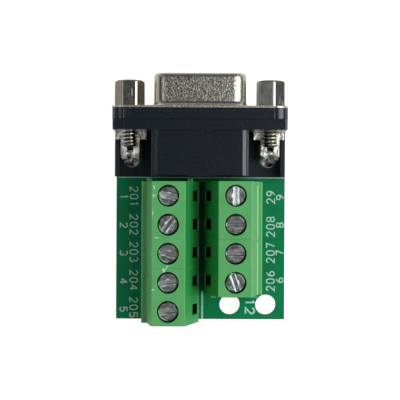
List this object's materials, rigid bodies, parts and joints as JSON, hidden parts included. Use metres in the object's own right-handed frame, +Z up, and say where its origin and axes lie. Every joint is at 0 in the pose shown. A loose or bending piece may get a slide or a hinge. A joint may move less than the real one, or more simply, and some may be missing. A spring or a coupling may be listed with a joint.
{
  "type": "d-sub terminal block adapter",
  "caption": "D-sub socket on a small circuit board that fans out to two back-to-back rows of green rising-cage screw terminals, with hexagonal jackscrews.",
  "frame": {"origin": "on the D-sub socket's axis, in the front face of its flange", "axes": "+X across the board towards terminals 6 to 9, +Y out of the socket's mouth, +Z up from the board's component side"},
  "size_m": [0.0308, 0.0441, 0.0172],
  "materials": {
    "board": "glass-fibre board, 1.6 mm, glossy green solder mask, pale legend, tinned pads",
    "shell_metal": "bright nickel-tin plate on drawn steel sheet",
    "insulator_plastic": "black glass-filled polyester, fine speckle",
    "housing_plastic": "black glass-filled polyester, fine speckle",
    "bracket_metal": "tin plate on stamped steel sheet",
    "jackscrew_metal": "nickel plate on turned brass, faces rubbed",
    "terminal_plastic": "mid-green polyamide, satin, lightly scuffed",
    "contact_metal": "gold flash on turned brass, tinned tail",
    "strip_metal": "tin plate on bent brass strip",
    "screw_metal": "zinc-plated steel, driver scratches on the head",
    "cage_metal": "zinc-plated bent steel",
    "solder": "tin solder, smooth"
  },
  "bodies": {
    "adapter": {"circuit_board": "board", "front_shell": "shell_metal", "socket_insulator": "insulator_plastic", "rear_housing": "housing_plastic", "bracket_left": "bracket_metal", "bracket_right": "bracket_metal", "jackscrew_left": "jackscrew_metal", "jackscrew_right": "jackscrew_metal", "terminal_housing_a": "terminal_plastic", "terminal_housing_b": "terminal_plastic", "terminal_housing_c": "terminal_plastic", "terminal_housing_d": "terminal_plastic", "socket_contact_1": "contact_metal", "socket_contact_2": "contact_metal", "socket_contact_3": "contact_metal", "socket_contact_4": "contact_metal", "socket_contact_5": "contact_metal", "socket_contact_6": "contact_metal", "socket_contact_7": "contact_metal", "socket_contact_8": "contact_metal", "socket_contact_9": "contact_metal", "solder_strip_1": "strip_metal", "solder_strip_2": "strip_metal", "solder_strip_3": "strip_metal", "solder_strip_4": "strip_metal", "solder_strip_5": "strip_metal", "solder_strip_6": "strip_metal", "solder_strip_7": "strip_metal", "solder_strip_8": "strip_metal", "solder_strip_9": "strip_metal", "terminal_solder": "solder", "socket_solder": "solder", "lock_solder": "solder"},
    "clamp_screw_1": {"clamp_screw_1": "screw_metal"},
    "wire_cage_1": {"wire_cage_1": "cage_metal"},
    "clamp_screw_2": {"clamp_screw_2": "screw_metal"},
    "wire_cage_2": {"wire_cage_2": "cage_metal"},
    "clamp_screw_3": {"clamp_screw_3": "screw_metal"},
    "wire_cage_3": {"wire_cage_3": "cage_metal"},
    "clamp_screw_4": {"clamp_screw_4": "screw_metal"},
    "wire_cage_4": {"wire_cage_4": "cage_metal"},
    "clamp_screw_5": {"clamp_screw_5": "screw_metal"},
    "wire_cage_5": {"wire_cage_5": "cage_metal"},
    "clamp_screw_6": {"clamp_screw_6": "screw_metal"},
    "wire_cage_6": {"wire_cage_6": "cage_metal"},
    "clamp_screw_7": {"clamp_screw_7": "screw_metal"},
    "wire_cage_7": {"wire_cage_7": "cage_metal"},
    "clamp_screw_8": {"clamp_screw_8": "screw_metal"},
    "wire_cage_8": {"wire_cage_8": "cage_metal"},
    "clamp_screw_9": {"clamp_screw_9": "screw_metal"},
    "wire_cage_9": {"wire_cage_9": "cage_metal"}
  },
  "joints": [
    {"name": "clamp_screw_1_turn", "type": "hinge", "parent": "adapter", "child": "clamp_screw_1", "pos_m": [-0.00543, -0.01565, 0.00465], "axis": [0, 0, -1], "range_deg": [0, 2000]},
    {"name": "wire_cage_1_rise", "type": "slide", "parent": "adapter", "child": "wire_cage_1", "axis": [0, 0, 1], "range_m": [0, 0.0025]},
    {"name": "clamp_screw_2_turn", "type": "hinge", "parent": "adapter", "child": "clamp_screw_2", "pos_m": [-0.00543, -0.02065, 0.00465], "axis": [0, 0, -1], "range_deg": [0, 2000]},
    {"name": "wire_cage_2_rise", "type": "slide", "parent": "adapter", "child": "wire_cage_2", "axis": [0, 0, 1], "range_m": [0, 0.0025]},
    {"name": "clamp_screw_3_turn", "type": "hinge", "parent": "adapter", "child": "clamp_screw_3", "pos_m": [-0.00543, -0.02565, 0.00465], "axis": [0, 0, -1], "range_deg": [0, 2000]},
    {"name": "wire_cage_3_rise", "type": "slide", "parent": "adapter", "child": "wire_cage_3", "axis": [0, 0, 1], "range_m": [0, 0.0025]},
    {"name": "clamp_screw_4_turn", "type": "hinge", "parent": "adapter", "child": "clamp_screw_4", "pos_m": [-0.00543, -0.03065, 0.00465], "axis": [0, 0, -1], "range_deg": [0, 2000]},
    {"name": "wire_cage_4_rise", "type": "slide", "parent": "adapter", "child": "wire_cage_4", "axis": [0, 0, 1], "range_m": [0, 0.0025]},
    {"name": "clamp_screw_5_turn", "type": "hinge", "parent": "adapter", "child": "clamp_screw_5", "pos_m": [-0.00543, -0.03565, 0.00465], "axis": [0, 0, -1], "range_deg": [0, 2000]},
    {"name": "wire_cage_5_rise", "type": "slide", "parent": "adapter", "child": "wire_cage_5", "axis": [0, 0, 1], "range_m": [0, 0.0025]},
    {"name": "clamp_screw_6_turn", "type": "hinge", "parent": "adapter", "child": "clamp_screw_6", "pos_m": [0.00622, -0.0306, 0.00465], "axis": [0, 0, -1], "range_deg": [0, 2000]},
    {"name": "wire_cage_6_rise", "type": "slide", "parent": "adapter", "child": "wire_cage_6", "axis": [0, 0, 1], "range_m": [0, 0.0025]},
    {"name": "clamp_screw_7_turn", "type": "hinge", "parent": "adapter", "child": "clamp_screw_7", "pos_m": [0.00622, -0.0256, 0.00465], "axis": [0, 0, -1], "range_deg": [0, 2000]},
    {"name": "wire_cage_7_rise", "type": "slide", "parent": "adapter", "child": "wire_cage_7", "axis": [0, 0, 1], "range_m": [0, 0.0025]},
    {"name": "clamp_screw_8_turn", "type": "hinge", "parent": "adapter", "child": "clamp_screw_8", "pos_m": [0.00622, -0.0206, 0.00465], "axis": [0, 0, -1], "range_deg": [0, 2000]},
    {"name": "wire_cage_8_rise", "type": "slide", "parent": "adapter", "child": "wire_cage_8", "axis": [0, 0, 1], "range_m": [0, 0.0025]},
    {"name": "clamp_screw_9_turn", "type": "hinge", "parent": "adapter", "child": "clamp_screw_9", "pos_m": [0.00622, -0.0156, 0.00465], "axis": [0, 0, -1], "range_deg": [0, 2000]},
    {"name": "wire_cage_9_rise", "type": "slide", "parent": "adapter", "child": "wire_cage_9", "axis": [0, 0, 1], "range_m": [0, 0.0025]}
  ],
  "couplings": [
    {"joint": "clamp_screw_1_turn", "follows": "wire_cage_1_rise", "rad_per_m": 13963},
    {"joint": "clamp_screw_2_turn", "follows": "wire_cage_2_rise", "rad_per_m": 13963},
    {"joint": "clamp_screw_3_turn", "follows": "wire_cage_3_rise", "rad_per_m": 13963},
    {"joint": "clamp_screw_4_turn", "follows": "wire_cage_4_rise", "rad_per_m": 13963},
    {"joint": "clamp_screw_5_turn", "follows": "wire_cage_5_rise", "rad_per_m": 13963},
    {"joint": "clamp_screw_6_turn", "follows": "wire_cage_6_rise", "rad_per_m": 13963},
    {"joint": "clamp_screw_7_turn", "follows": "wire_cage_7_rise", "rad_per_m": 13963},
    {"joint": "clamp_screw_8_turn", "follows": "wire_cage_8_rise", "rad_per_m": 13963},
    {"joint": "clamp_screw_9_turn", "follows": "wire_cage_9_rise", "rad_per_m": 13963}
  ]
}
